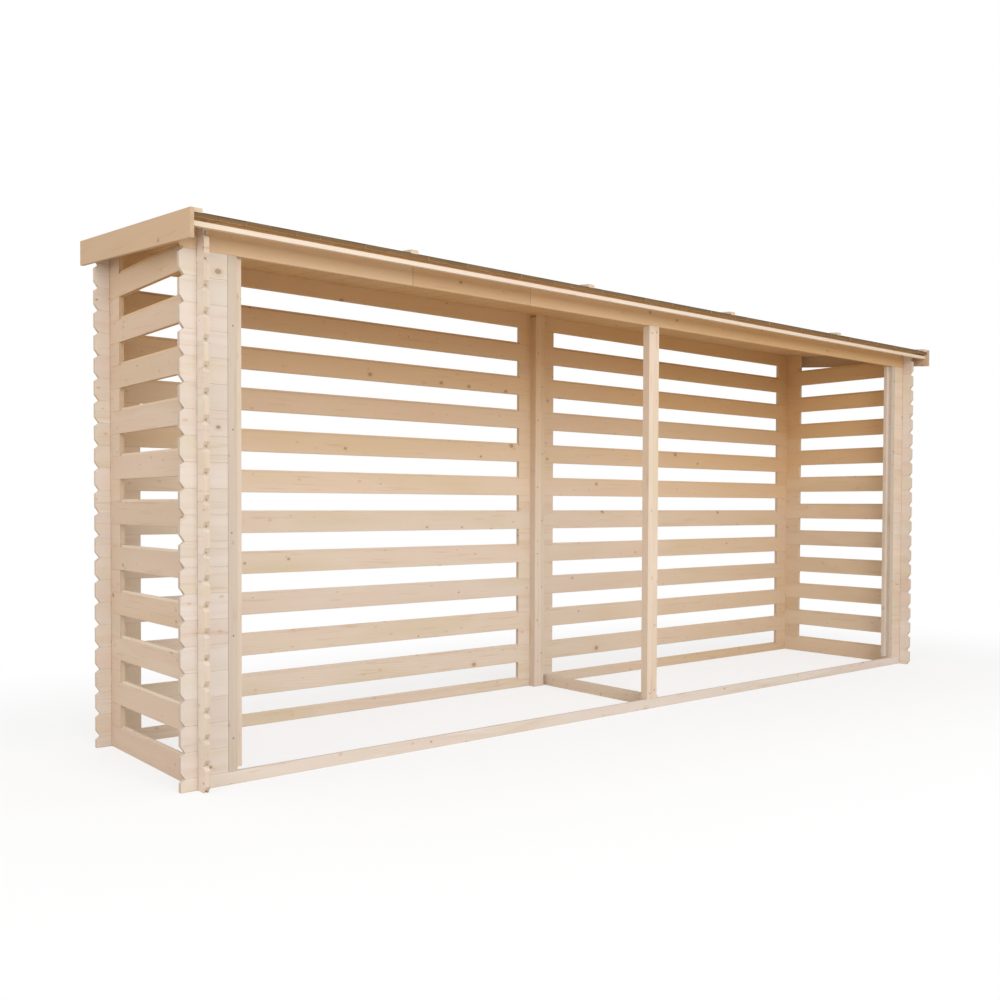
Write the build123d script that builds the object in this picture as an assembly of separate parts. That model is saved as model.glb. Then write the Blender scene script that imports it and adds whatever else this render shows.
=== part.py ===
"""Open-fronted log store: interlocking spruce logs under a thin single-pitch roof.

Frame: millimetres, +Z up, +X along the length, -Y towards the open front.
The origin is on the ground, under the middle of the roof's outline.
"""

import math
import os

from build123d import *

# ---------------------------------------------------------------- driving sizes
course = 92.0               # height of one log, seam to seam
log_thickness = 19.0
wall_length = 4716.0        # over the outer faces of the two side walls
wall_depth = 881.0          # over the outer faces of the front and back walls
front_courses = 20          # whole short logs in the front corners, an even number

tip_length = 62.0           # log end past the outer face of the crossing wall
front_inner_length = 95.0   # short front log past the inner face of the side wall
block_inner_length = 104.0  # spacer block past the inner face of the crossing wall

tongue_width = 7.0
tongue_height = 10.0
edge_bevel = 1.5            # along every long edge of a log
tip_depth = 17.0            # how far the log end is cut back at its seams
tip_rise_below = 24.0       # height of the cut at the underside of the log end
tip_rise_above = 13.0       # height of the cut at the top of the log end

joint_gap = 0.5             # each side of a lap joint, and round a tongue
trim_gap = 1.0              # open line between the short logs and the corner trim

trim_width = 34.0
corner_post_width = 61.0
corner_post_depth = 20.0
front_post_width = 70.0
front_post_depth = 40.0
front_post_middle = -6.0    # along X, from the middle of the walls
back_post_width = 66.0
back_post_depth = 45.0
back_post_middle = -25.0    # along X, from the middle of the walls
centre_blocks_left = 139.0  # block ends, to either side of the middle of the walls
centre_blocks_right = 115.0
tie_width = 28.0
tie_height = 56.0

roof_rise_angle = 5.15      # degrees, rising towards the back
roof_sheet_thickness = 14.0
front_overhang = 125.0      # barge board past the outer face of the front wall
rear_overhang = 114.0
sheet_setback = 10.0        # roof sheet's front edge behind the end of the barge boards
barge_thickness = 14.0
barge_height = 100.0
barge_above_sheet = 12.0    # top of the barge board over the top of the roof sheet
batten_width = 34.0
batten_height = 15.0
batten_shares = (0.0, 0.184, 0.385, 0.596, 0.798, 1.0)  # places along the roof, end to end
eave_lath_height = 17.0
eave_lath_depth = 28.0
eave_lath_drop = 13.0       # top of the lath below the underside of the roof sheet
eave_lath_setback = 20.0    # face of the lath behind the end of the barge boards

# ---------------------------------------------------------------- derived places
half_course = course / 2
x_outer = wall_length / 2
x_inner = x_outer - log_thickness
y_front = front_overhang - (front_overhang + wall_depth + rear_overhang) / 2
y_front_inner = y_front + log_thickness
y_back = y_front + wall_depth
y_back_inner = y_back - log_thickness
front_top = (front_courses + 1.5) * course
side_rails = front_courses // 2 + 1
back_gaps = side_rails
roof_slope = math.tan(math.radians(roof_rise_angle))
x_barge = x_outer + tip_length
nodes = {}


def roof_underside(y):
    """Height of the underside of the roof sheet at depth y."""
    return front_top + roof_slope * (y - y_front)


# ---------------------------------------------------------------- log shapes
def log_section(height):
    """Cross-section of a log in (across, up): bevelled edges, tongue above, groove below.

    A half log is the upper half of a whole one, so its sawn underside has no groove.
    """
    side = log_thickness / 2
    tongue = tongue_width / 2
    groove = tongue + joint_gap
    right = [
        (groove, 0),
        (side - edge_bevel, 0),
        (side, edge_bevel),
        (side, height - edge_bevel),
        (side - edge_bevel, height),
        (tongue, height),
        (tongue, height + tongue_height),
    ]
    left = [(-across, up) for across, up in reversed(right)]
    if height < course:
        return right[1:] + left[:-1]
    roof_of_groove = [(-groove, tongue_height + joint_gap), (groove, tongue_height + joint_gap)]
    return right + left + roof_of_groove


def prism(points, plane, length):
    """Solid between a closed outline on a plane and its copy a length along the normal."""
    face = make_face(Polyline(*points, close=True).edges())
    return extrude(plane * face, length)


def log(start, end, bottom, height=course, laps=(), tips=(True, True), tongue=((0, 0),)):
    """A log along +X, centred on y = 0, with its lap joints and shaped ends.

    start, end: places of its two ends along X.
    laps: middle of each crossing wall; the log is cut back above and below there,
        so that a quarter course of the crossing logs fits into it on each side.
    tips: whether each end is a shaped tip, or a plain square end.
    tongue: the stretches along X that have a tongue; the default is all of it.
    """
    top = height
    quarter = course / 4
    below = quarter if height == course else 0.0
    half_lap = log_thickness / 2 + joint_gap
    if tongue == ((0, 0),):
        tongue = ((start, end),)

    under = []
    if tips[0]:
        under += [(start, tip_rise_below), (start + tip_depth, 0)] if below else [(start, 0)]
    else:
        under += [(start, 0)]
    for lap in sorted(laps):
        if below:
            under += [(lap - half_lap, 0), (lap - half_lap, below)]
            under += [(lap + half_lap, below), (lap + half_lap, 0)]
    if tips[1]:
        under += [(end - tip_depth, 0), (end, tip_rise_below)] if below else [(end, 0)]
    else:
        under += [(end, 0)]

    over = []
    if tips[0]:
        over += [(start, top - tip_rise_above), (start + tip_depth, top)]
    else:
        over += [(start, top)]
    if tips[1]:
        over += [(end - tip_depth, top), (end, top - tip_rise_above)]
    else:
        over += [(end, top)]
    body = prism(under + over[::-1], Plane.XZ.offset(-log_thickness / 2), log_thickness)

    for left, right in tongue:
        inset_left = tip_depth if tips[0] and left == start else 0.0
        inset_right = tip_depth if tips[1] and right == end else 0.0
        strip = Box(
            right - left - inset_left - inset_right, tongue_width, tongue_height,
            align=(Align.MIN, Align.CENTER, Align.MIN),
        )
        body += Pos(left + inset_left, 0, top) * strip
    section = prism(log_section(height), Plane.YZ.offset(start), end - start)
    body = body & section
    for lap in laps:
        slot = Box(2 * half_lap, log_thickness, course, align=(Align.CENTER, Align.CENTER, Align.MIN))
        body -= Pos(lap, 0, height - quarter) * slot
    return Pos(0, 0, bottom) * body


def along_x(shape, y_middle):
    """Place a log in a wall that runs along X."""
    return Pos(0, y_middle, 0) * shape


def along_y(shape, x_middle):
    """Turn a log made along X to run along Y, in the wall at x_middle."""
    return Pos(x_middle, 0, 0) * Rot(0, 0, 90) * shape


def mirrored(shape):
    """The same piece for the other end of the store."""
    return mirror(shape, Plane.YZ)


def pair_of_stacks(name, pieces):
    """Keep a group of pieces under one name, and its mirrored twin under another."""
    group = Compound(children=pieces)
    nodes[f"{name}_right"] = group
    nodes[f"{name}_left"] = mirrored(group)


def under_roof(shape):
    """What is left of a shape below the underside of the roof sheet."""
    reach = wall_length + 4 * tip_length
    depth = wall_depth + front_overhang + rear_overhang
    outline = [
        (y_front - depth, roof_underside(y_front - depth)),
        (y_back + depth, roof_underside(y_back + depth)),
        (y_back + depth, roof_underside(y_back + depth) + depth),
        (y_front - depth, roof_underside(y_front - depth) + depth),
    ]
    return shape - prism(outline, Plane.YZ.offset(-reach / 2), reach)


front_middle = y_front + log_thickness / 2
back_middle = y_back - log_thickness / 2
side_middle = x_outer - log_thickness / 2
long_laps = (-side_middle, side_middle)
deep_laps = (front_middle, back_middle)
x_tip = x_outer + tip_length
y_front_tip = y_front - tip_length
y_back_tip = y_back + tip_length
x_front_end = x_inner - front_inner_length
x_block_end = x_inner - block_inner_length


# ---------------------------------------------------------------- front wall
def front_wall():
    """Half-log sill, short logs stacked in both corners, and the header over the opening."""
    seats = ((-x_tip, -x_front_end), (x_front_end, x_tip))
    sill = log(-x_tip, x_tip, 0, half_course, long_laps, tongue=seats)
    nodes["front_sill"] = along_x(sill, front_middle)
    header = log(-x_tip, x_tip, (front_courses + 0.5) * course, laps=long_laps)
    nodes["front_header"] = under_roof(along_x(header, front_middle))
    for name, first in (("odd", 0), ("even", 1)):
        stack = []
        for row in range(first, front_courses, 2):
            short = log(x_front_end, x_tip, (row + 0.5) * course, laps=(side_middle,), tips=(False, True))
            stack.append(along_x(short, front_middle))
        pair_of_stacks(f"front_corner_logs_{name}", stack)


# ---------------------------------------------------------------- back wall
def back_wall():
    """Half-log bottom rail, whole rails, header, and the spacer blocks that part them."""
    bottom = log(-x_tip, x_tip, 0, half_course, long_laps)
    nodes["back_bottom_rail"] = along_x(bottom, back_middle)
    for gap in range(back_gaps - 1):
        rail = log(-x_tip, x_tip, (2 * gap + 1.5) * course, laps=long_laps)
        nodes[f"back_rail_{gap + 1:02d}"] = along_x(rail, back_middle)
    header = log(-x_tip, x_tip, (2 * back_gaps - 0.5) * course, laps=long_laps)
    nodes["back_header"] = under_roof(along_x(header, back_middle))

    corner = []
    centre = []
    for gap in range(back_gaps):
        level = (2 * gap + 0.5) * course
        block = log(x_block_end, x_tip, level, laps=(side_middle,), tips=(False, True))
        corner.append(along_x(block, back_middle))
        short = log(-centre_blocks_left, centre_blocks_right, level, tips=(False, False))
        centre.append(along_x(short, back_middle))
    pair_of_stacks("back_corner_blocks", corner)
    nodes["back_centre_blocks"] = Compound(children=centre)


# ---------------------------------------------------------------- side walls
def side_walls():
    """Whole rails through both corners, with spacer blocks in the gaps at each corner."""
    rails = []
    front_blocks = []
    back_blocks = []
    for row in range(side_rails):
        rail = log(y_front_tip, y_back_tip, 2 * row * course, laps=deep_laps)
        rails.append(along_y(rail, side_middle))
        level = (2 * row + 1) * course
        front = log(
            y_front_tip, y_front_inner + block_inner_length, level,
            laps=(front_middle,), tips=(True, False),
        )
        back = log(
            y_back_inner - block_inner_length, y_back_tip, level,
            laps=(back_middle,), tips=(False, True),
        )
        front_blocks.append(under_roof(along_y(front, side_middle)))
        back_blocks.append(along_y(back, side_middle))
    wedge = log(
        y_back_inner - block_inner_length, y_back_tip, 2 * side_rails * course,
        laps=(back_middle,), tips=(False, True),
    )
    for name, group in (
        ("side_rails", rails),
        ("side_front_blocks", front_blocks),
        ("side_back_blocks", back_blocks),
        ("gable_wedge", [under_roof(along_y(wedge, side_middle))]),
    ):
        pair_of_stacks(name, group)


# ---------------------------------------------------------------- posts and tie
def box_between(x, y, z):
    """Box from three (low, high) pairs."""
    size = Box(x[1] - x[0], y[1] - y[0], z[1] - z[0], align=(Align.MIN, Align.MIN, Align.MIN))
    return Pos(x[0], y[0], z[0]) * size


def posts():
    """Front and back middle posts, the tie between their feet, and the corner trims."""
    header_bottom = (front_courses + 0.5) * course
    front_x = (front_post_middle - front_post_width / 2, front_post_middle + front_post_width / 2)
    front_y = (y_front, y_front + front_post_depth)
    nodes["front_centre_post"] = box_between(front_x, front_y, (half_course, header_bottom))

    back_x = (back_post_middle - back_post_width / 2, back_post_middle + back_post_width / 2)
    back_y = (y_back_inner - back_post_depth, y_back_inner)
    tall = box_between(back_x, back_y, (0, roof_underside(y_back)))
    nodes["back_centre_post"] = under_roof(tall)

    tie_x = (front_x[1], front_x[1] + tie_width)  # its side lies against the front post
    nodes["floor_tie"] = box_between(tie_x, (y_front_inner, y_back_inner), (0, tie_height))

    trim_x = (x_front_end - trim_gap - trim_width, x_front_end - trim_gap)
    trim = box_between(trim_x, (y_front, y_front_inner), (half_course, header_bottom))
    nodes["corner_trim_right"] = trim
    nodes["corner_trim_left"] = mirrored(trim)

    post_x = (x_front_end - corner_post_width, x_front_end)
    post_y = (y_front_inner, y_front_inner + corner_post_depth)
    post_z = (half_course + tongue_height, header_bottom + half_course)
    post = box_between(post_x, post_y, post_z)
    nodes["corner_post_right"] = post
    nodes["corner_post_left"] = mirrored(post)


# ---------------------------------------------------------------- roof
def sloping(x, y, low, high):
    """Slab between two heights above the roof sheet's underside, over ranges in x and y."""
    outline = [
        (y[0], roof_underside(y[0]) + low),
        (y[1], roof_underside(y[1]) + low),
        (y[1], roof_underside(y[1]) + high),
        (y[0], roof_underside(y[0]) + high),
    ]
    return prism(outline, Plane.YZ.offset(x[0]), x[1] - x[0])


def roof():
    """Roof sheet, battens over it, a barge board at each end, and the lath along the eave."""
    y_start = y_front - front_overhang
    y_end = y_back + rear_overhang
    sheet_y = (y_start + sheet_setback, y_end)
    sheet_top = roof_sheet_thickness
    nodes["roof_sheet"] = sloping((-x_barge, x_barge), sheet_y, 0, sheet_top)

    first = -x_barge + batten_width / 2
    battens = []
    for share in batten_shares:
        middle = first + share * (2 * x_barge - batten_width)
        across = (middle - batten_width / 2, middle + batten_width / 2)
        battens.append(sloping(across, sheet_y, sheet_top, sheet_top + batten_height))
    nodes["roof_battens"] = Compound(children=battens)

    top = sheet_top + barge_above_sheet
    barge = sloping((x_barge, x_barge + barge_thickness), (y_start, y_end), top - barge_height, top)
    nodes["barge_board_right"] = barge
    nodes["barge_board_left"] = mirrored(barge)

    lath_y = (y_start + eave_lath_setback, y_start + eave_lath_setback + eave_lath_depth)
    lath_z = (-eave_lath_drop - eave_lath_height, -eave_lath_drop)
    nodes["eave_lath"] = sloping((-x_barge, x_barge), lath_y, *lath_z)


front_wall()
back_wall()
side_walls()
posts()
roof()

os.makedirs("parts", exist_ok=True)
for name, shape in nodes.items():
    export_step(shape, f"parts/{name}.step")
print(len(nodes), "nodes")
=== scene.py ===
"""Log store: timber finishes, roof boards, felt, fixings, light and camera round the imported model."""

import math

import bpy
import numpy as np
from mathutils import Matrix, Vector


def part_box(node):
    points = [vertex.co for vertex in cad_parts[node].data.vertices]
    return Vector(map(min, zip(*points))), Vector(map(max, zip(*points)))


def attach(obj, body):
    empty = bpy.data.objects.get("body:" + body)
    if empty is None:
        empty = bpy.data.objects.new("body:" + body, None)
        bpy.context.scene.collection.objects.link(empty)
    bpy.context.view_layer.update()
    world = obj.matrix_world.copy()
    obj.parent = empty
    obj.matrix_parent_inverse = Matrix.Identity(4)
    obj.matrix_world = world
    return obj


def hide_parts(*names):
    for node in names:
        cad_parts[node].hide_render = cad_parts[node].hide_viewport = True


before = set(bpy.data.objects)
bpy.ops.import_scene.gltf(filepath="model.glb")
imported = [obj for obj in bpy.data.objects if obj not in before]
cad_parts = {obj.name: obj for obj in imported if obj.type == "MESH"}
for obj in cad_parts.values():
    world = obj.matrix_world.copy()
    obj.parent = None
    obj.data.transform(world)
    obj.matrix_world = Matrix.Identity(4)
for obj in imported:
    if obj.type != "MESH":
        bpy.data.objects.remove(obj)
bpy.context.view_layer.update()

log_height = 0.092


# ------------------------------------------------------------------ shader sums
class Value:
    """A shader socket that can stand in a sum: each operator adds one Math node."""

    def __init__(self, paint, socket):
        self.paint = paint
        self.socket = socket

    def math(self, operation, *others):
        made = self.paint.node("Math", {"operation": operation}, {0: self, **dict(enumerate(others, 1))})
        return made[0]

    def __add__(self, other):
        return self.math("ADD", other)

    __radd__ = __add__

    def __mul__(self, other):
        return self.math("MULTIPLY", other)

    __rmul__ = __mul__

    def __sub__(self, other):
        return self.math("SUBTRACT", other)

    def __rsub__(self, other):
        return (self * -1.0) + other

    def __truediv__(self, other):
        return self.math("DIVIDE", other)

    def __pow__(self, other):
        return self.math("POWER", other)

    def __abs__(self):
        return self.math("ABSOLUTE")

    def floor(self):
        return self.math("FLOOR")

    def sine(self):
        return self.math("SINE")

    def most(self, other):
        return self.math("MAXIMUM", other)

    def least(self, other):
        return self.math("MINIMUM", other)

    def rise(self, low, high):
        """0 below low, 1 above high and a smooth step between; high may be the lower of the two."""
        settings = {"interpolation_type": "SMOOTHSTEP"}
        return self.paint.node("MapRange", settings, {0: self, 1: low, 2: high, 3: 0.0, 4: 1.0})[0]


class Paint:
    """The node tree of one finish, or of the world that is given as its owner."""

    def __init__(self, name, owner=None):
        self.material = owner or bpy.data.materials.new(name)
        self.material.use_nodes = True
        self.tree = self.material.node_tree
        self.tree.nodes.clear()

    def node(self, kind, settings, sockets):
        """Add a node: its settings first, then a value or a link for each socket named."""
        made = self.tree.nodes.new("ShaderNode" + kind)
        for setting, value in settings.items():
            setattr(made, setting, value)
        for key, value in sockets.items():
            if isinstance(value, Value):
                self.tree.links.new(value.socket, made.inputs[key])
            else:
                made.inputs[key].default_value = value
        return [Value(self, socket) for socket in made.outputs]

    def place(self):
        """The three coordinates of the point on the piece, in metres."""
        where = self.node("TexCoord", {}, {})[3]
        return self.node("SeparateXYZ", {}, {0: where})

    def facing(self):
        """The three parts of the surface's own direction."""
        where = self.node("TexCoord", {}, {})[1]
        return self.node("SeparateXYZ", {}, {0: where})

    def point(self, x, y, z=0.0):
        return self.node("CombineXYZ", {}, {0: x, 1: y, 2: z})[0]

    def noise(self, where, scale=1.0, detail=3.0, roughness=0.5):
        sockets = {"Vector": where, "Scale": scale, "Detail": detail, "Roughness": roughness}
        return self.node("TexNoise", {}, sockets)[0]

    def chance(self, number):
        """Three even random values for each whole number."""
        colour = self.node("TexWhiteNoise", {"noise_dimensions": "1D"}, {"W": number})[1]
        return self.node("SeparateColor", {}, {0: colour})[:3]

    def mix(self, factor, one, other, blend="MIX"):
        """Colour between one and other; a plain colour is three numbers."""
        settings = {"data_type": "RGBA", "blend_type": blend, "clamp_factor": True}
        one, other = [c if isinstance(c, Value) else (*c, 1.0) for c in (one, other)]
        return self.node("Mix", settings, {0: factor, 6: one, 7: other})[2]

    def coat(self, colour, roughness, height, depth, specular=0.3):
        """Finish the tree with one surface shader and the bump that height gives."""
        bump = self.node("Bump", {}, {"Height": height, "Distance": depth, "Strength": 1.0})[0]
        sockets = {"Base Color": colour, "Roughness": roughness, "Normal": bump}
        sockets["Specular IOR Level"] = specular
        shader = self.node("BsdfPrincipled", {}, sockets)[0]
        self.node("OutputMaterial", {}, {0: shader})
        return self.material


# ------------------------------------------------------------------ timber
pale_wood = (0.745, 0.662, 0.575)
warm_wood = (0.690, 0.550, 0.415)
pink_wood = (0.725, 0.570, 0.480)
olive_wood = (0.640, 0.545, 0.365)
# the darker, yellower colour: painted shade under the roof and towards the right, and on the roof
# boards' underside
shade_honey_wood = (0.680, 0.455, 0.240)
late_wood = (0.540, 0.355, 0.205)
end_wood = (0.610, 0.465, 0.325)
# painted shade: the dark olive brown of the roof boards' front ends, standing in for the shade at the
# eave
painted_shade_end = (0.205, 0.124, 0.056)
knot_wood = (0.235, 0.120, 0.060)
rings_per_metre = 210.0
wall_low = (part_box("side_rails_left")[0][0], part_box("front_sill")[0][1])
wall_high = (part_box("side_rails_right")[1][0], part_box("back_header")[1][1])


plain_tone = (1.0, 1.0, 1.0)
# painted light: lighter, cooler tone for the log ends outside the walls
painted_light_tone = (1.02, 1.06, 1.13)
outer_tone = (0.91, 0.87, 0.86)


def timber(name, run, seed, step=(2, 0.0, 10.0), honey_shading=(0.0, 0.0, 0.0), tone=plain_tone,
           sawn=(end_wood, 0.55), joints=(), weathered_and_lit=False):
    """Planed spruce whose grain runs along X, Y or Z (run 0, 1 or 2).

    step = (axis, start, length): pieces lie side by side along that axis, one for each
    length, and every piece has its own tone, pith and knots.
    Rings are the distance from a wandering pith, in years; the dark late wood is where
    the fraction of a year is near one. Knots are the nearest of a scatter of points, in
    a third of the cells only, rounded by a brown rim. joints are the places along X
    where two lengths of the same piece butt together.

    The three shares of the darker, yellower colour (all over, under the roof, towards the right)
    say how much of it is mixed in. Under the roof and towards the right it is painted shade; there
    is less of it low down and none on the log ends outside the walls.
    tone multiplies the red, green and blue of the piece. With the last argument set, another tone
    does so on the walls' outer faces, and a lighter, cooler painted light on the log ends outside them.
    sawn = (colour, how much) of the sawn ends.
    """
    paint = Paint(name)
    axes = paint.place()
    normals = paint.facing()
    along = axes[run]
    rise = axes[2] if run != 2 else axes[0]
    deep = axes[1] if run != 1 else axes[0]
    number = ((axes[step[0]] - step[1]) / step[2]).floor()
    if run == 1 and step[0] == 0:
        rise, deep = axes[0], axes[2]
    for joint in joints:
        number = number + axes[0].rise(joint, joint + 0.0001) * 31.0
    luck = paint.chance(number + seed * 17.3)
    second = paint.chance(number + seed * 5.7 + 400.0)
    shift = luck[0] * 40.0 + seed

    # the pith wanders along the piece, so the rings meet the face as long flames
    slow = paint.noise(paint.point(along * 0.7 + shift, rise * 2.0, deep * 2.0), 1.0, 2.0)
    across = rise + (slow - 0.5) * 0.16 + (luck[1] - 0.5) * 0.06
    if step[2] < 1.0:
        across = across - (number + 0.5) * step[2] - step[1]
    through = deep + luck[2] * 0.05 + 0.03

    # knots, round in the plane of the wide face
    spot = paint.point(along * 4.6 + shift, rise * 6.0)
    cell = paint.node("TexVoronoi", {"voronoi_dimensions": "2D"}, {"Vector": spot, "Scale": 1.0})
    which = paint.node("SeparateColor", {}, {0: cell[1]})
    present = which[0].rise(0.66, 0.68)
    size = 0.016 + which[1] ** 2.0 * 0.034
    reach = cell[0] / size
    knot = reach.rise(1.05, 0.8) * present
    rim = (reach.rise(1.5, 1.05) - reach.rise(1.0, 0.75)).most(0.0) * present
    halo = reach.rise(3.6, 1.0) * present

    # pin knots, smaller and more of them, from a finer scatter
    spot = paint.point(along * 9.0 - shift, rise * 16.0)
    cell = paint.node("TexVoronoi", {"voronoi_dimensions": "2D"}, {"Vector": spot, "Scale": 1.0})
    which = paint.node("SeparateColor", {}, {0: cell[1]})
    pin = (cell[0] / (0.05 + which[1] * 0.06)).rise(1.2, 0.7) * which[0].rise(0.74, 0.76)

    distance = (across * across + through * through) ** 0.5
    year = distance * rings_per_metre + halo * 1.6 + slow * 3.0
    season = year - year.floor()
    late = season ** 3.0 * (1.0 - season ** 14.0)
    fine = paint.noise(paint.point(along * 3.0 + shift, rise * 260.0, deep * 260.0), 1.0, 2.0)
    streak = paint.noise(paint.point(along * 0.55 + shift, rise * 34.0, deep * 34.0), 1.0, 3.0, 0.6)
    broad = paint.noise(paint.point(along * 1.3 - shift, rise * 5.0, deep * 5.0), 1.0, 2.0)
    resin = paint.noise(paint.point(along * 4.0 - shift, rise * 75.0, deep * 20.0), 1.0, 2.0)

    colour = paint.mix(second[0] * 0.45 + streak * 0.6 - 0.24, pale_wood, warm_wood)
    colour = paint.mix((broad - 0.5).most(0.0) * 2.2, colour, olive_wood)
    colour = paint.mix((0.5 - broad).most(0.0) * 2.2, colour, pink_wood)
    # painted shade: more of the darker, yellower colour higher up under the roof and towards the right
    honey_shade = axes[2].rise(0.7, 1.95) * honey_shading[1] + honey_shading[0]
    if honey_shading[2]:
        honey_shade = honey_shade + axes[0].rise(-0.3, 2.0) * honey_shading[2]
    inside, faced = 1.0, 0.0
    # painted light: on the log ends outside the walls none of the painted shade stays, and on the outer
    # faces only a little
    if weathered_and_lit:
        margin = 0.003
        past = (axes[0] - wall_high[0] - margin).most(wall_low[0] - margin - axes[0])
        past = past.most(axes[1] - wall_high[1] - margin).most(wall_low[1] - margin - axes[1])
        inside = past.rise(0.001, 0.0)
        faced = past.rise(-0.006, -0.005)
        honey_shade = honey_shade * (1.0 - faced) + faced * (axes[2].rise(0.7, 1.95) * 0.15 + 0.10)
        honey_shade = honey_shade * inside
    colour = paint.mix(honey_shade * (0.85 + second[2] * 0.3), colour, shade_honey_wood)
    colour = paint.mix(late * 0.30 * (streak + 0.4), colour, late_wood)
    colour = paint.mix(halo * 0.3, colour, late_wood)
    colour = paint.mix(pin * 0.45, colour, late_wood)
    colour = paint.mix(resin.rise(0.60, 0.74) * 0.32, colour, late_wood)
    colour = paint.mix(knot * 0.8, colour, paint.mix(fine, knot_wood, late_wood))
    colour = paint.mix(rim * 0.5, colour, knot_wood)

    # sawn ends show the rings themselves
    end = abs(normals[run]).rise(0.45, 0.75)
    ring = year.sine() * 0.5 + 0.5
    butt = paint.mix(ring * 0.45 + fine * 0.25, sawn[0], [0.68 * part for part in sawn[0]])
    colour = paint.mix(end * sawn[1], colour, butt)
    bright = second[1] * 0.06 + 0.965
    for joint in joints:
        line = abs(axes[0] - joint).rise(0.0022, 0.0010)
        bright = bright * (1.0 - line * 0.38)
    # the log ends outside the walls take the lighter, cooler painted light; the outer faces their own
    # tone
    parts = []
    for own, face, out in zip(tone, outer_tone, painted_light_tone):
        wall = faced * (face - own) + own
        parts.append(bright * (inside * (wall - out) + out))
    shade = paint.node("CombineColor", {}, dict(enumerate(parts)))[0]
    colour = paint.mix(1.0, colour, shade, "MULTIPLY")

    roughness = 0.62 + fine * 0.14 + knot * -0.12 + end * 0.12
    height = fine * 0.5 - late * 0.35 + knot * 0.5 - rim * 0.7 + end * fine * 0.8
    return paint.coat(colour, roughness, height, 0.0006)


def felt_finish():
    """Mineral roofing felt: fine grit in two browns, faded in broad patches."""
    paint = Paint("mineral_felt")
    x, y, z = paint.place()
    grit = paint.node("TexVoronoi", {}, {"Vector": paint.point(x, y, z), "Scale": 900.0})
    speck = paint.node("SeparateColor", {}, {0: grit[1]})[0]
    patch = paint.noise(paint.point(x, y, z), 2.4, 4.0, 0.6)
    colour = paint.mix(speck, (0.085, 0.055, 0.032), (0.190, 0.125, 0.075))
    colour = paint.mix((patch - 0.45).most(0.0) * 1.4, colour, (0.210, 0.150, 0.095))
    return paint.coat(colour, 0.86 + speck * 0.1, 1.0 - grit[0], 0.0009, 0.25)


def steel_finish():
    """Zinc-plated steel with a faint brushed grain and dulled patches."""
    paint = Paint("zinc_steel")
    x, y, z = paint.place()
    dull = paint.noise(paint.point(x, y, z), 160.0, 3.0)
    colour = paint.mix(dull, (0.24, 0.22, 0.19), (0.40, 0.37, 0.33))
    bump = paint.node("Bump", {}, {"Height": dull, "Distance": 0.0002, "Strength": 1.0})[0]
    sockets = {"Base Color": colour, "Roughness": 0.45 + dull * 0.25, "Normal": bump, "Metallic": 1.0}
    shader = paint.node("BsdfPrincipled", {}, sockets)[0]
    paint.node("OutputMaterial", {}, {0: shader})
    return paint.material


def finish_with(piece, material):
    piece.data.materials.clear()
    piece.data.materials.append(material)


def dress_cad_nodes():
    """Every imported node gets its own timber, with the grain along its length."""
    for seed, (name, piece) in enumerate(sorted(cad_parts.items()), 1):
        run, step, honey_shading, tone = 0, (2, 0.0, 10.0), (0.0, 0.0, 0.0), plain_tone
        if name.startswith(("side", "gable")):
            run, step = 1, (2, 0.0, log_height)
        elif name.startswith(("back_c", "front_corner")) and "post" not in name:
            step = (2, log_height / 2, log_height)
        elif "post" in name or "trim" in name:
            run = 2
        elif name.startswith(("barge", "floor_tie")):
            run = 1
        elif name == "roof_battens":
            low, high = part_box(name)
            run, step = 1, (0, low[0] - 0.1, (high[0] - low[0]) / 5)
        # painted shade: the darker, yellower colour rises under the roof and towards the right on the
        # back wall, header, sides and gables, and a little on the right front corner
        if name.startswith(("back_", "front_header")):
            honey_shading = (0.0, 0.72, 0.42)
        elif name.startswith(("gable", "side")):
            honey_shading = (0.0, 0.85, 0.25)
            tone = (1.03, 1.03, 1.01)
        elif name.startswith("barge"):
            honey_shading, tone = (0.58, 0.0, 0.0), (0.82, 0.79, 0.78)
        elif name.startswith("corner"):
            tone = (0.79, 0.79, 0.80) if "trim" in name else (0.90, 0.90, 0.91)
        elif name.startswith("front_corner") and name.endswith("left"):
            tone = (0.91, 0.95, 1.04)
        elif name.startswith("front_corner"):
            honey_shading, tone = (0.0, 0.20, 0.0), (0.965, 0.95, 0.965)
        elif name == "front_sill":
            tone = (0.96, 0.99, 1.06)
        joints = (-1.448, -0.818) if name == "front_header" else ()
        # wall pieces get their outer-face tone, and painted light on their log ends outside the walls
        weathered_and_lit = name.startswith(("back", "side", "gable")) and "post" not in name
        finish = timber("timber_" + name, run, float(seed), step, honey_shading, tone,
                        joints=joints, weathered_and_lit=weathered_and_lit)
        finish_with(piece, finish)


dress_cad_nodes()


# ------------------------------------------------------------------ new pieces
sheet_low, sheet_high = [np.array(corner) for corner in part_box("roof_sheet")]
batten_low, batten_high = [np.array(corner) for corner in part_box("roof_battens")]
sheet_thickness = 0.014
board_pitch = 0.0968
batten_width, batten_height = 0.034, 0.015
batten_shares = np.array([0.0, 0.184, 0.385, 0.596, 0.798, 1.0])
batten_run = batten_high[0] - batten_low[0] - batten_width
batten_middles = batten_low[0] + batten_width / 2 + batten_shares * batten_run
roof_slope = (sheet_high[2] - sheet_low[2] - sheet_thickness) / (sheet_high[1] - sheet_low[1])


def on_roof(y, above):
    """Height of a place on the roof: the sheet's underside at depth y, plus above."""
    return sheet_low[2] + roof_slope * (y - sheet_low[1]) + above


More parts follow.
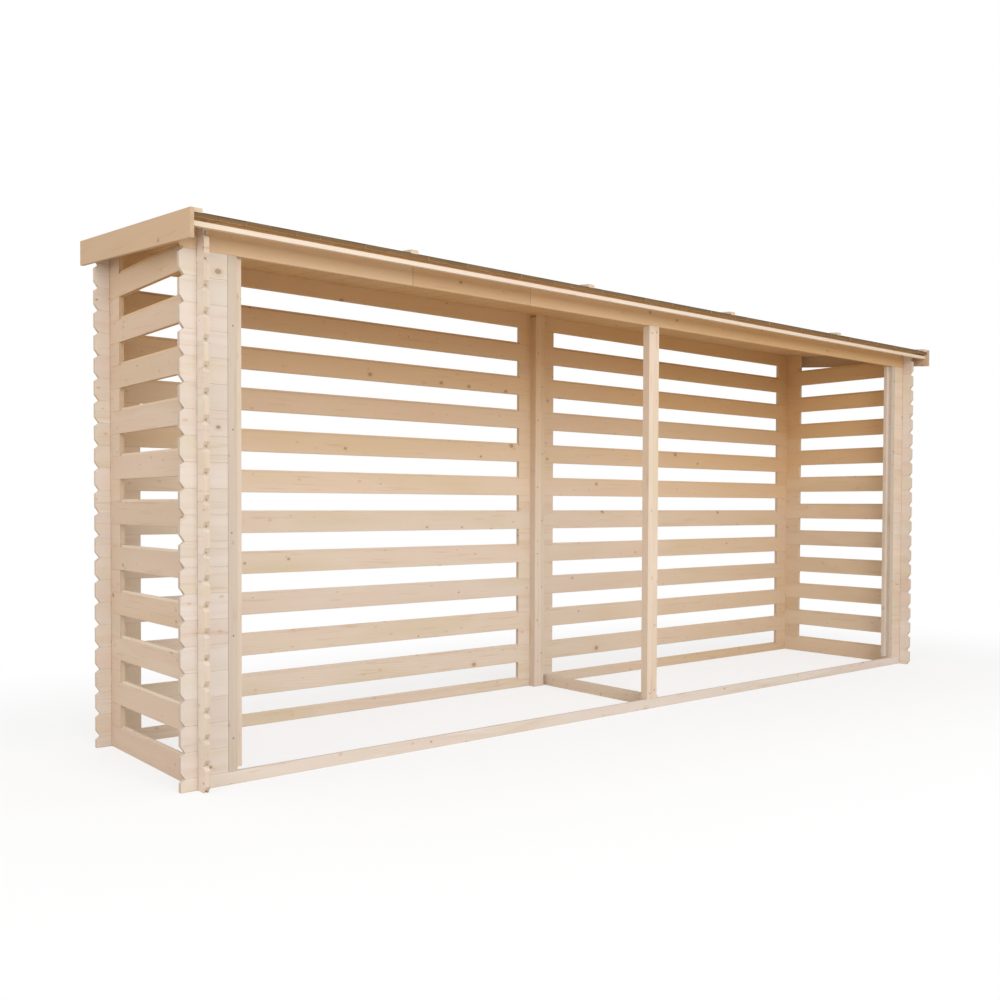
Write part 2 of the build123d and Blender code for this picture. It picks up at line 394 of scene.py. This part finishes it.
def swept(sections):
    """Closed solids from rings: sections[i, j] is ring j of solid i, corner by corner.

    Rings are joined side to side, and the first and last ring of each solid are its caps.
    The signed volume, a sixth of the sum of corner . (corner x corner) over the faces,
    tells which way they point, and all are turned if it is negative.
    """
    solids, rings, corners, _ = sections.shape
    start = np.arange(solids)[:, None, None] * rings * corners
    ring = start + np.arange(rings - 1)[None, :, None] * corners
    here = ring + np.arange(corners)
    after = ring + np.roll(np.arange(corners), -1)
    sides = np.stack([here, after, after + corners, here + corners], -1).reshape(-1, 4)
    first = (start[:, 0] + np.arange(corners)[::-1]).tolist()
    last = (start[:, 0] + (rings - 1) * corners + np.arange(corners)).tolist()
    points = sections.reshape(-1, 3)
    a, b, c, d = [points[sides[:, i]] - points.mean(0) for i in range(4)]
    volume = (np.cross(b, c) * a).sum() + (np.cross(c, d) * a).sum()
    for cap in first + last:
        ring = points[cap] - points.mean(0)
        volume += (np.cross(ring[1:-1], ring[2:]) * ring[0]).sum()
    faces = sides.tolist() + first + last
    if volume < 0:
        faces = [face[::-1] for face in faces]
    return points, faces


def build_piece(name, sections, material):
    points, faces = swept(sections)
    mesh = bpy.data.meshes.new(name)
    mesh.from_pydata(points.tolist(), [], faces)
    mesh.update()
    piece = bpy.data.objects.new(name, mesh)
    bpy.context.scene.collection.objects.link(piece)
    finish_with(piece, material)
    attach(piece, "root")
    return piece


def roof_boards():
    """Boards laid side by side from the eave to the back, for the plain roof sheet.

    Each is one outline carried up the slope: square above, a small bevel along both
    lower edges, so that two neighbours leave a V below. Each front end stands a
    millimetre or two back or forward, by a sine of its number.
    """
    count = int(round((sheet_high[0] - sheet_low[0]) / board_pitch))
    width = (sheet_high[0] - sheet_low[0]) / count
    bevel, gap = 0.003, 0.0004
    number = np.arange(count)
    left = sheet_low[0] + number * width + gap
    right = left + width - 2 * gap
    edge = np.stack([left, left + bevel, right - bevel, right, right, left], 1)
    above = np.array([bevel, 0.0, 0.0, bevel, sheet_thickness, sheet_thickness])
    front = sheet_low[1] + 0.0015 + 0.0015 * np.sin(number * 2.4)
    back = sheet_high[1] - 0.0015 + 0.0015 * np.sin(number * 1.7)
    y = np.stack([front, back], 1)[:, :, None] * np.ones((1, 1, 6))
    x = edge[:, None, :] * np.ones((1, 2, 1))
    z = on_roof(y, above[None, None, :])
    sections = np.stack([x, y, z], -1)
    step = (0, sheet_low[0], width)
    # painted shade: the darker, yellower colour all over stands for the shaded underside of the roof,
    # and the front ends take the dark painted-shade brown
    finish = timber("roof_board_timber", 1, 77.0, step, (0.95, 0.0, 0.0), (0.97, 0.97, 0.97),
                    (painted_shade_end, 1.0))
    piece = build_piece("roof_boards", sections, finish)
    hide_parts("roof_sheet")


def roof_felt():
    """Felt over the boards, a sheet between each two battens.

    Its top stands 1.5 mm over the boards, plus slow ripples: the product of a sine
    along the roof and a sine up the slope, fading to nothing at the edges.
    """
    steps, rows = 40, 30
    across = np.linspace(0.0, 1.0, steps)
    along = np.linspace(0.0, 1.0, rows)
    sections = []
    for bay, (left, right) in enumerate(zip(batten_middles[:-1], batten_middles[1:])):
        x = left + (right - left) * across
        y = sheet_low[1] + 0.0002 + (sheet_high[1] - sheet_low[1] - 0.0004) * along
        u, v = np.meshgrid(across, along)
        ripple = 0.0011 * np.sin(u * 17.0 + bay * 2.0 + v * 3.0) * np.sin(v * 9.0 + bay)
        fade = np.sin(np.pi * u) ** 0.5 * np.sin(np.pi * v) ** 0.5
        lift = 0.0015 + (0.0012 + ripple) * fade
        top_x, top_y = np.meshgrid(x, y)
        top = np.stack([top_x, top_y, on_roof(top_y, sheet_thickness + lift)], -1)
        under = np.stack([top_x, top_y, on_roof(top_y, sheet_thickness + 0.0001)], -1)
        sections.append(np.concatenate([top, under[:, ::-1]], 1))
    build_piece("roof_felt", np.array(sections), felt_finish())


roof_boards()
roof_felt()


def screw_heads(name, places, out, radius, rise):
    """Low domed heads: the height over the wood falls as the square of the distance from
    the middle, rise * (1 - r * r), on a rim sunk just below the surface.

    places are the middles; out is 1, 2 or 3 for X, Y or Z, with the sign of the way they face.
    """
    places = np.asarray(places, float)
    sides, lift = 12, 0.0002
    turn = np.linspace(0.0, 2 * np.pi, sides, endpoint=False)
    axis, sign = abs(out) - 1, math.copysign(1.0, out)
    flat = [i for i in range(3) if i != axis]
    rings = []
    for r, sink in ((1.0, -0.0006), (1.0, 0.0), (0.72, 0.0), (0.36, 0.0), (0.06, 0.0)):
        ring = np.zeros((sides, 3))
        ring[:, flat[0]] = np.cos(turn) * r * radius
        ring[:, flat[1]] = np.sin(turn) * r * radius
        ring[:, axis] = sign * (sink if sink else rise * (1.0 - r * r) + lift)
        rings.append(ring)
    sections = places[:, None, None, :] + np.array(rings)[None]
    build_piece(name, sections, steel)


steel = steel_finish()


def middle_of(node):
    low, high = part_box(node)
    return (np.array(low) + np.array(high)) / 2, np.array(low), np.array(high)


def fixings():
    """Screws through the trims, posts and battens."""
    front = []
    for name in ("corner_trim_left", "corner_trim_right"):
        middle, low, high = middle_of(name)
        rows = np.arange(low[2] + 0.12, high[2] - 0.05, 4 * log_height)
        front += [(middle[0] + 0.004 * math.sin(z * 40), low[1], z) for z in rows]
    middle, low, high = middle_of("front_centre_post")
    front += [(middle[0] + dx, low[1], low[2] + dz) for dx, dz in ((-0.016, 0.03), (0.017, 0.045))]
    front += [(middle[0] + dx, low[1], high[2] - dz) for dx, dz in ((-0.015, 0.035), (0.018, 0.028))]
    middle, low, high = middle_of("back_centre_post")
    rows = np.arange(1, 20, 2) * log_height + log_height
    front += [(middle[0] + 0.016 * (-1) ** i, low[1], z) for i, z in enumerate(rows)]
    screw_heads("front_screws", front, -2, 0.0038, 0.0008)

    nails = []
    for x in batten_middles:
        for y in np.linspace(batten_low[1] + 0.05, batten_high[1] - 0.05, 5):
            top = on_roof(y, sheet_thickness + batten_height)
            nails.append((x + 0.003 * math.sin(50 * x + 9 * y), y, top))
    screw_heads("batten_nails", nails, 3, 0.0042, 0.0009)


fixings()


# ------------------------------------------------------------------ room, light, camera
air_strength = 0.76
near_white = 0.68            # how much of the floor beside the store is white light
half_length = 2.45
half_depth = 0.60


def studio():
    """Pale floor that fades to white round the store, white surroundings, and two soft lamps.

    Seen directly, the floor is two thirds white light and one third matt paint, so that the
    shadow stays but is soft. It sends less light up than white would, as bare ground does.
    """
    paint = Paint("studio_floor")
    x, y, z = paint.place()
    beside = (abs(x) - half_length).most(0.0)
    before = (abs(y) - half_depth).most(0.0)
    far = ((beside * beside + before * before) ** 0.5).rise(0.2, 2.2)
    seen = paint.node("LightPath", {}, {})[0]
    matt = paint.node("BsdfDiffuse", {}, {"Color": (0.90, 0.90, 0.90, 1.0)})[0]
    ground = paint.node("BsdfDiffuse", {}, {"Color": (0.72, 0.62, 0.50, 1.0)})[0]
    white = paint.node("Emission", {}, {"Color": (1.0, 1.0, 1.0, 1.0), "Strength": 1.0})[0]
    lit = far * (1.0 - near_white) + near_white
    shown = paint.node("MixShader", {}, {0: lit, 1: matt, 2: white})[0]
    paint.node("OutputMaterial", {}, {0: paint.node("MixShader", {}, {0: seen, 1: ground, 2: shown})[0]})
    reach = 60.0
    corners = [(-reach, -reach, 0), (reach, -reach, 0), (reach, reach, 0), (-reach, reach, 0)]
    mesh = bpy.data.meshes.new("studio_floor")
    mesh.from_pydata(corners, [], [(0, 1, 2, 3)])
    floor = bpy.data.objects.new("studio_floor", mesh)
    bpy.context.scene.collection.objects.link(floor)
    finish_with(floor, paint.material)

    world = bpy.data.worlds.new("studio_air")
    bpy.context.scene.world = world
    air = Paint("studio_air", world)
    ray = air.node("LightPath", {}, {})
    background = (ray[0] + ray[3]).least(1.0)
    strength = background * (1.0 - air_strength) + air_strength
    glow = air.node("Background", {}, {"Color": (1.0, 1.0, 1.0, 1.0), "Strength": strength})[0]
    air.node("OutputWorld", {}, {0: glow})

    for name, place, aim, size, power in (
        ("front_lamp", (-2.5, -8.0, 4.6), (0.0, 0.0, 0.9), 6.0, 395.0),
        ("left_lamp", (-9.0, -2.0, 3.5), (-2.4, 0.0, 1.0), 5.0, 130.0),
    ):
        lamp = bpy.data.lights.new(name, "AREA")
        lamp.size = size
        lamp.energy = power
        holder = bpy.data.objects.new(name, lamp)
        holder.location = place
        holder.rotation_euler = (Vector(aim) - Vector(place)).to_track_quat("-Z", "Y").to_euler()
        bpy.context.scene.collection.objects.link(holder)


def camera():
    """Camera to the left of the open front, at chest height and nearly level."""
    yaw, pitch, roll = 0.692410, -0.021900, -0.003665
    ahead = Vector((math.sin(yaw) * math.cos(pitch), math.cos(yaw) * math.cos(pitch), math.sin(pitch)))
    right = Vector((math.cos(yaw), -math.sin(yaw), 0.0))
    down = -right.cross(ahead)
    turned = right * math.cos(roll) + down * math.sin(roll)
    under = down * math.cos(roll) - right * math.sin(roll)
    eye = bpy.data.cameras.new("camera")
    eye.sensor_width = 36.0
    eye.lens = 37.213
    eye.shift_y = 0.02768
    holder = bpy.data.objects.new("camera", eye)
    turn = Matrix((turned, -under, -ahead)).transposed().to_4x4()
    holder.matrix_world = Matrix.Translation((-3.8453, -3.8807, 1.0046)) @ turn
    bpy.context.scene.collection.objects.link(holder)
    bpy.context.scene.camera = holder


studio()
camera()
bpy.context.scene.view_settings.view_transform = "Standard"
